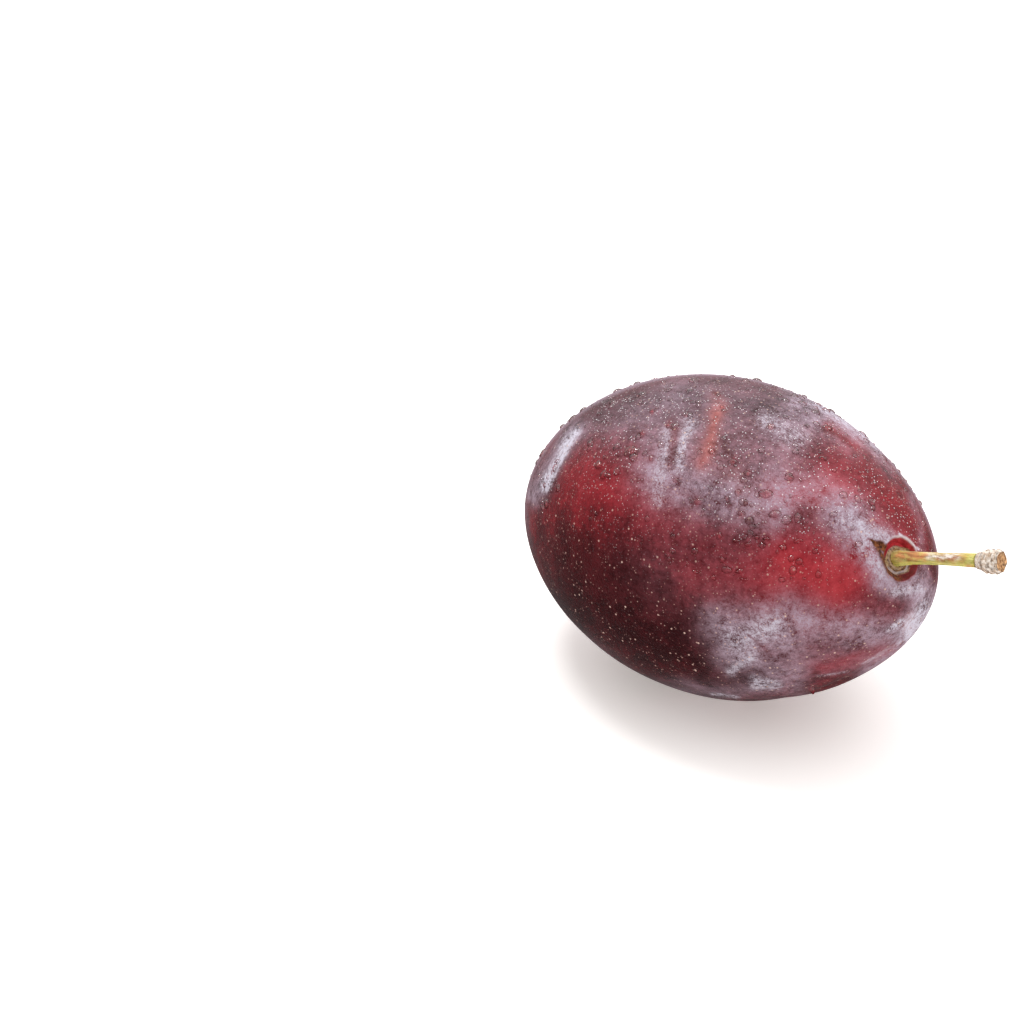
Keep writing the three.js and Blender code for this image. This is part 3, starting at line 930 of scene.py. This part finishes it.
def finish_tree(tree, given, result, geometry):
    """Ends a tree in a plain mesh with its material."""
    real = put(tree, "GeometryNodeRealizeInstances", Geometry=geometry)
    smooth = put(tree, "GeometryNodeSetShadeSmooth", Geometry=real.outputs[0])
    material = given["Material"]
    dressed = put(tree, "GeometryNodeSetMaterial", Geometry=smooth.outputs[0], Material=material)
    feed(tree, result, Geometry=dressed.outputs[0])


def grown(host, tree, name, settings):
    """Runs a tree on its host and keeps the result as a plain mesh object."""
    modifier = host.modifiers.new(tree.name, "NODES")
    modifier.node_group = tree
    for item in tree.interface.items_tree:
        if item.in_out == "INPUT" and item.name in settings:
            modifier[item.identifier] = settings[item.name]
    depsgraph = bpy.context.evaluated_depsgraph_get()
    depsgraph.update()
    mesh = bpy.data.meshes.new_from_object(host.evaluated_get(depsgraph))
    mesh.name = name
    host.modifiers.remove(modifier)
    bpy.data.objects.remove(host)
    return new_object(name, mesh)


def stem_tree():
    """A bar along a curve that flares at its foot, swells at its end and is ribbed with fine fibres."""
    tree, given, result = new_geometry_tree("stalk along its line", [
        ("Foot Radius", NUMBER, STEM_FOOT_RADIUS * MM),
        ("Radius", NUMBER, STEM_RADIUS * MM),
        ("End Radius", NUMBER, STEM_SWELL_RADIUS * MM),
        ("Flare Length", NUMBER, STEM_FLARE_LENGTH * MM),
        ("Swell Length", NUMBER, STEM_SWELL_LENGTH * MM),
        ("Fibre Height", NUMBER, 0.05 * MM),
    ])
    line = put(tree, "GeometryNodeResampleCurve", Curve=given["Geometry"], Count=STEM_STEPS)
    along = put(tree, "GeometryNodeSplineParameter").outputs["Length"]
    whole = put(tree, "GeometryNodeSplineLength").outputs["Length"]

    def bulge(distance, width, radius):
        share = calc(tree, "POWER", calc(tree, "DIVIDE", distance, given[width]), 2.0)
        fall = calc(tree, "EXPONENT", times(tree, share, -1.0))
        return times(tree, fall, calc(tree, "SUBTRACT", given[radius], given["Radius"]))

    flare = bulge(along, "Flare Length", "Foot Radius")
    swell = bulge(calc(tree, "SUBTRACT", whole, along), "Swell Length", "End Radius")
    radius = calc(tree, "ADD", calc(tree, "ADD", given["Radius"], flare), swell)
    profile = put(tree, "GeometryNodeCurvePrimitiveCircle", Resolution=STEM_SIDES, Radius=1.0).outputs[0]
    bar = put(
        tree, "GeometryNodeCurveToMesh", Curve=line.outputs[0], Profile_Curve=profile, Scale=radius,
        Fill_Caps=True,
    ).outputs[0]
    place = put(tree, "GeometryNodeInputPosition").outputs[0]
    fine = put(
        tree, "ShaderNodeVectorMath", {"operation": "MULTIPLY"}, i0=place, i1=(0.35 / MM, 2.2 / MM, 2.2 / MM),
    ).outputs[0]
    ribs = put(tree, "ShaderNodeTexNoise", Vector=fine, Scale=1.0, Detail=3.0).outputs[0]
    height = times(tree, calc(tree, "SUBTRACT", ribs, 0.5), given["Fibre Height"])
    normal = put(tree, "GeometryNodeInputNormal").outputs[0]
    lift = put(tree, "ShaderNodeVectorMath", {"operation": "SCALE"}, Vector=normal, Scale=height).outputs[0]
    bar = put(tree, "GeometryNodeSetPosition", Geometry=bar, Offset=lift).outputs[0]
    finish_tree(tree, given, result, bar)
    return tree


STEM_MARKS = {
    "tan": [
        ("scuffs near the foot", (898, 556), (926, 556), 5, 1.0),
        ("brown middle", (938, 558), (960, 558), 5, 0.75),
        ("brown underside of the end", (968, 566), (976, 568), 3, 0.6),
    ],
    "frost": [
        ("pale scuffs", (930, 556), (957, 556), 4, 0.8),
        # Painted highlight: a pale line along the stem's upper edge stands for light falling on it.
        ("painted highlight along the upper edge", (886, 549), (930, 550), 1.5, 0.3),
    ],
}
KNOB_MARKS = {
    "tan": [
        ("brown lower left edge", (977, 570), (990, 573), 3, 0.9),
        ("brown rim of the cut", (996, 552), (1000, 572), 2, 0.6),
    ],
}


def make_stem(material):
    guides, _ = stem_line()
    piece = grown(curve_piece("stem_guide", guides), stem_tree(), "stem_stalk", {"Material": material})
    points = points_of(piece)
    seen = smoothstep(normals_of(piece) @ CAMERA_BACK, -0.6, -0.2)
    pixels = in_photo(points) + 1.5 * noise_at(points, 0.8, 6)[:, :2]
    blotch = noise_at(points, 1.6, 7)
    tan, frost = smoothstep(blotch[:, 0], 0.05, 0.4) * 0.7, smoothstep(blotch[:, 1], 0.2, 0.5) * 0.5
    for layer, base in (("tan", tan), ("frost", frost)):
        paint(piece, layer, with_marks(layer, base * (1 - 0.7 * seen), STEM_MARKS, pixels, seen))
    return piece


def knob_points():
    """The corky end's rings: along its rind, then inwards over its hollowed cut face."""
    guides, heading = stem_line()
    start = guides[3] + heading * FITTING_GAP
    side = unit(np.cross(heading, UP))
    above = np.cross(side, heading)
    turns = turns_round(KNOB_SIDES)
    round_it = np.cos(turns)[:, None] * side + np.sin(turns)[:, None] * above
    rings = []
    for share in np.linspace(0, 1, KNOB_STEPS):
        widening = smoothstep(share, 0, KNOB_WIDENED_AT)
        ridge = KNOB_RING_HEIGHT * math.sin(2 * math.pi * KNOB_RING_COUNT * share)
        lobe = 1 + KNOB_LOBE_SHARE * widening * np.cos(KNOB_LOBES * turns + KNOB_LOBE_TWIST * share)
        rounding = 1 - KNOB_ROUNDING * smoothstep(share, KNOB_ROUNDED_FROM, 1)
        radius = KNOB_START_RADIUS + (KNOB_RADIUS - KNOB_START_RADIUS) * widening + ridge * widening
        rings.append(start + heading * KNOB_LENGTH * share + round_it * (radius * lobe * rounding)[:, None])
    end = start + heading * KNOB_LENGTH
    rim = rings[-1] - end
    for share in np.linspace(0, 1, KNOB_CUT_RINGS + 2)[1:-1]:
        rings.append(end + rim * (1 - share) - heading * KNOB_HOLLOW_DEPTH * share)
    cut_middle = end - heading * KNOB_HOLLOW_DEPTH
    return np.vstack(rings + [start[None], cut_middle[None]]), start, heading


def make_knob(material):
    """The corky end, roughened by noise, with its cut face and its brown edges."""
    points, start, heading = knob_points()
    along = (points - start) @ heading
    middle = start + along[:, None] * heading
    rough = noise_at(points, 0.55, 8)[:, 0] * 0.5 + noise_at(points, 0.22, 9)[:, 0] * 0.3
    spread = unit(points - middle + 1e-6 * UP)
    on_cut = (np.arange(len(points)) // KNOB_SIDES >= KNOB_STEPS).astype(float)
    on_cut[-2] = 0
    lift = 0.11 * rough * smoothstep(along, 0.0, 0.5)
    points = points + spread * (lift * (1 - on_cut))[:, None] + heading * (lift * on_cut)[:, None]
    faces = closed_faces(KNOB_STEPS + KNOB_CUT_RINGS, KNOB_SIDES)
    piece = new_piece("stem_knob", points, faces, material)
    seen = smoothstep(normals_of(piece) @ CAMERA_BACK, -0.6, -0.2)
    pixels = in_photo(points) + 1.2 * noise_at(points, 0.6, 10)[:, :2]
    paint(piece, "cut", on_cut)
    paint(piece, "tan", with_marks("tan", 0.3 * smoothstep(rough, 0, 0.4), KNOB_MARKS, pixels, seen))
    return piece


def drops_tree():
    """Small flat water drops strewn over a skin where it is wet, half sunk into it."""
    tree, given, result = new_geometry_tree("drops on the skin", [
        ("Drops a Square Metre", NUMBER, 500000.0),
        ("Least Spacing", NUMBER, 0.42 * MM),
        ("Smallest Radius", NUMBER, 0.13 * MM),
        ("Largest Radius", NUMBER, 0.6 * MM),
        ("Height Share", NUMBER, 0.55),
        ("Seed", WHOLE_NUMBER, 4),
    ])
    wet = put(tree, "GeometryNodeInputNamedAttribute", {"data_type": "FLOAT"}, Name="wet").outputs[0]
    strewn = put(
        tree, "GeometryNodeDistributePointsOnFaces", {"distribute_method": "POISSON"},
        Mesh=given["Geometry"], Distance_Min=given["Least Spacing"],
        Density_Max=given["Drops a Square Metre"], Density_Factor=wet, Seed=given["Seed"],
    )

    def chance(low, high, shift):
        seed = calc(tree, "ADD", given["Seed"], shift)
        node = put(tree, "FunctionNodeRandomValue", {"data_type": "FLOAT"}, i2=low, i3=high, Seed=seed)
        return node.outputs[1]

    rare = calc(tree, "POWER", chance(0.0, 1.0, 1), 3.6)
    spread = calc(tree, "SUBTRACT", given["Largest Radius"], given["Smallest Radius"])
    radius = calc(tree, "MULTIPLY_ADD", rare, spread, given["Smallest Radius"])
    size = put(
        tree, "ShaderNodeCombineXYZ", X=times(tree, radius, chance(0.8, 1.25, 2)),
        Y=times(tree, radius, chance(0.8, 1.25, 3)), Z=times(tree, radius, given["Height Share"]),
    ).outputs[0]
    drop = put(tree, "GeometryNodeMeshIcoSphere", Radius=1.0, Subdivisions=2).outputs[0]
    placed = put(
        tree, "GeometryNodeInstanceOnPoints", Points=strewn.outputs["Points"], Instance=drop,
        Rotation=strewn.outputs["Rotation"], Scale=size,
    ).outputs[0]
    finish_tree(tree, given, result, placed)
    return tree


def make_small_drops(fruit, material):
    host = new_object("skin_for_drops", fruit.data.copy())
    return grown(host, drops_tree(), "small_drops", {"Material": material})


# A drop is the cap of a ball that meets the skin at this angle.
CAP_ANGLE = math.radians(68)
CAP_SIDE, CAP_MIDDLE = math.sin(CAP_ANGLE), math.cos(CAP_ANGLE)
# It lies only where the skin faces the camera this much or more.
LEAST_FACING = 0.05

# A larger drop: the pixel it shows at, its width, its length down the skin, its height, and how uneven
# its edge is
Drop = namedtuple("Drop", "name pixel width length height uneven")
LARGE_DROPS = [Drop(*row) for row in (
    ("broad flat drop", (632, 450), 2.3, 1.7, 0.4, 0.16),
    ("drop below the run", (766, 493), 1.8, 1.2, 0.5, 0.04),
    ("leaning drop", (697, 501), 1.9, 0.9, 0.45, 0.10),
    ("lower right drop", (774, 514), 1.6, 1.0, 0.4, 0.08),
    ("small round drop", (739, 492), 0.85, 1.0, 0.4, 0.03),
    ("drop at the foot of the run", (713, 451), 0.9, 0.9, 0.4, 0.08),
    ("drop by the red run", (668, 425), 0.8, 0.9, 0.3, 0.08),
    ("middle drop", (748, 473), 1.0, 0.9, 0.35, 0.1),
    ("pale drop", (733, 461), 1.1, 0.8, 0.35, 0.06),
    ("top drop", (771, 427), 1.1, 0.9, 0.4, 0.08),
    ("edge drop", (828, 428), 1.5, 0.9, 0.4, 0.12),
    ("upper flank drop", (790, 477), 1.4, 1.0, 0.35, 0.18),
    ("left drop", (651, 459), 0.8, 0.9, 0.35, 0.06),
    ("lower left drop", (676, 479), 0.9, 0.7, 0.35, 0.08),
    ("pair, first", (742, 513), 0.9, 0.7, 0.4, 0.12),
    ("pair, second", (729, 506), 0.7, 0.8, 0.35, 0.1),
    ("low drop", (739, 570), 1.1, 0.6, 0.3, 0.2),
    ("low middle drop", (723, 559), 0.9, 0.7, 0.3, 0.15),
    ("flush drop", (782, 547), 1.1, 0.6, 0.3, 0.2),
    ("right drop", (822, 458), 1.0, 0.6, 0.3, 0.2),
    ("cluster, first", (735, 541), 0.9, 0.6, 0.3, 0.2),
    ("cluster, second", (747, 545), 0.8, 0.7, 0.3, 0.15),
    ("cluster, third", (720, 536), 0.7, 0.9, 0.3, 0.2),
    ("cluster, fourth", (757, 537), 0.7, 0.6, 0.3, 0.1),
    ("belly drop, first", (713, 578), 0.8, 0.6, 0.3, 0.2),
    ("belly drop, second", (696, 572), 1.0, 0.5, 0.3, 0.2),
    ("belly drop, third", (745, 579), 1.0, 0.5, 0.3, 0.2),
    ("belly drop, fourth", (767, 538), 0.8, 0.5, 0.3, 0.15),
    ("belly drop, fifth", (798, 541), 1.1, 0.6, 0.3, 0.2),
    ("middle drop, lower", (727, 498), 0.7, 0.6, 0.3, 0.1),
    ("middle drop, right", (745, 503), 0.6, 0.8, 0.3, 0.1),
    ("upper drop, left", (642, 434), 1.0, 0.6, 0.3, 0.2),
    ("upper drop, first", (652, 412), 0.7, 0.6, 0.3, 0.1),
    ("upper drop, second", (686, 415), 0.6, 0.6, 0.3, 0.1),
    ("drop in the run", (722, 407), 0.5, 0.6, 0.3, 0.1),
    ("hanging drop", (812, 690), 0.7, 1.0, 0.6, 0.05),
)]


def make_large_drops(fruit, material):
    """Flat domes with rounded edges, each laid on the skin at its own pixel."""
    skin_points, skin_normals = points_of(fruit), normals_of(fruit)
    pixels, facing = in_photo(skin_points), skin_normals @ CAMERA_BACK
    turns = turns_round(DROP_SIDES)
    points, faces = [], []
    for number, drop in enumerate(LARGE_DROPS):
        away = np.linalg.norm(pixels - np.array(drop.pixel), axis=-1)
        away[facing < LEAST_FACING] = np.inf
        at = int(np.argmin(away))
        foot, out = skin_points[at], skin_normals[at]
        across = unit(CAMERA_RIGHT - out * (CAMERA_RIGHT @ out))
        down = np.cross(across, out)
        wobble = 1 + drop.uneven * np.sin(2 * turns + number)
        wobble = wobble + drop.uneven * 0.6 * np.sin(3 * turns + 2.3 * number)
        start = sum(len(p) for p in points)
        own = []
        for ring in range(DROP_RINGS):
            share = math.sin(math.pi / 2 * (ring + 1) / DROP_RINGS)
            lift = (math.sqrt(1 - (share * CAP_SIDE) ** 2) - CAP_MIDDLE) / (1 - CAP_MIDDLE)
            x = drop.width / 2 * share * wobble * np.cos(turns)
            y = drop.length / 2 * share * wobble * np.sin(turns)
            own.append(foot + x[:, None] * across + y[:, None] * down + out * drop.height * lift)
        own.append((foot + out * drop.height)[None])
        own.append((foot - out * drop.height * 0.5)[None])
        points.append(np.vstack(own))
        faces += [tuple(start + v for v in face) for face in closed_faces(DROP_RINGS, DROP_SIDES)]
    return new_piece("large_drops", np.vstack(points), faces, material)


def outward_faces(piece):
    """Turns a closed piece's faces outwards."""
    work = bmesh.new()
    work.from_mesh(piece.data)
    bmesh.ops.recalc_face_normals(work, faces=work.faces)
    work.to_mesh(piece.data)
    work.free()
    return piece


def make_floor():
    corners = FLOOR_HALF_SIDE * np.array([[-1, -1, 0], [1, -1, 0], [1, 1, 0], [-1, 1, 0]], float)
    floor = new_piece("table", corners, [(0, 1, 2, 3)], floor_material())
    floor.visible_glossy = False


def make_light():
    """A soft white dome, bright overhead and dim on the camera's side, and a small lamp for the drops."""
    world = bpy.data.worlds.new("soft_dome")
    world.use_nodes = True
    tree = world.node_tree
    toward = put(tree, "ShaderNodeTexCoord").outputs["Generated"]
    height = put(tree, "ShaderNodeSeparateXYZ", Vector=toward).outputs["Z"]
    front = tuple(unit(CAMERA_BACK * (1, 1, 0) - 0.5 * CAMERA_RIGHT))
    ahead = put(tree, "ShaderNodeVectorMath", {"operation": "DOT_PRODUCT"}, i0=toward, i1=front)
    dome = eased(tree, height, 0.05, 0.95, DOME_RIM, DOME_TOP)
    dome = times(tree, dome, eased(tree, height, -0.25, 0.05, BELOW_SHARE, 1.0))
    shade = eased(tree, ahead.outputs["Value"], -0.3, 0.7, 1.0, DOME_FRONT_SHARE)
    feed(tree, tree.nodes["Background"], Color=(1.0, 1.0, 1.0, 1), Strength=times(tree, dome, shade))
    bpy.context.scene.world = world
    lamp = bpy.data.lights.new("sparkle_light", "AREA")
    lamp.shape, lamp.size, lamp.energy = "DISK", LAMP_WIDTH * MM, LAMP_POWER
    place = FRUIT_CENTRE + LAMP_OVER * UP - LAMP_BEHIND * CAMERA_BACK - LAMP_LEFT * CAMERA_RIGHT
    light = new_object("sparkle_light", lamp)
    light.location = Vector(place * MM)
    light.rotation_euler = Vector(place - FRUIT_CENTRE).to_track_quat("Z", "Y").to_euler()


def make_camera():
    lens = bpy.data.cameras.new("camera")
    lens.lens, lens.sensor_width = LENS, SENSOR
    lens.clip_start, lens.clip_end = 0.01, 20
    camera = new_object("camera", lens)
    camera.location = Vector(CAMERA_PLACE * MM)
    camera.rotation_euler = (math.pi / 2 - CAMERA_RISE, 0, CAMERA_TURN)
    bpy.context.scene.camera = camera


make_camera()
make_light()
make_floor()
bpy.context.scene.view_settings.view_transform = "Standard"

fruit = make_fruit(skin_material())
stem = make_stem(stem_material())
knob = make_knob(cork_material())
water = water_material()
small_drops = make_small_drops(fruit, water)
large_drops = outward_faces(make_large_drops(fruit, water))

for piece, node, slot in ((fruit, "fruit", "skin"), (stem, "stem", "stem"), (knob, "stem_end", "stem_cork")):
    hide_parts(node)
for piece in (fruit, stem, knob, small_drops, large_drops):
    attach(piece, "root")
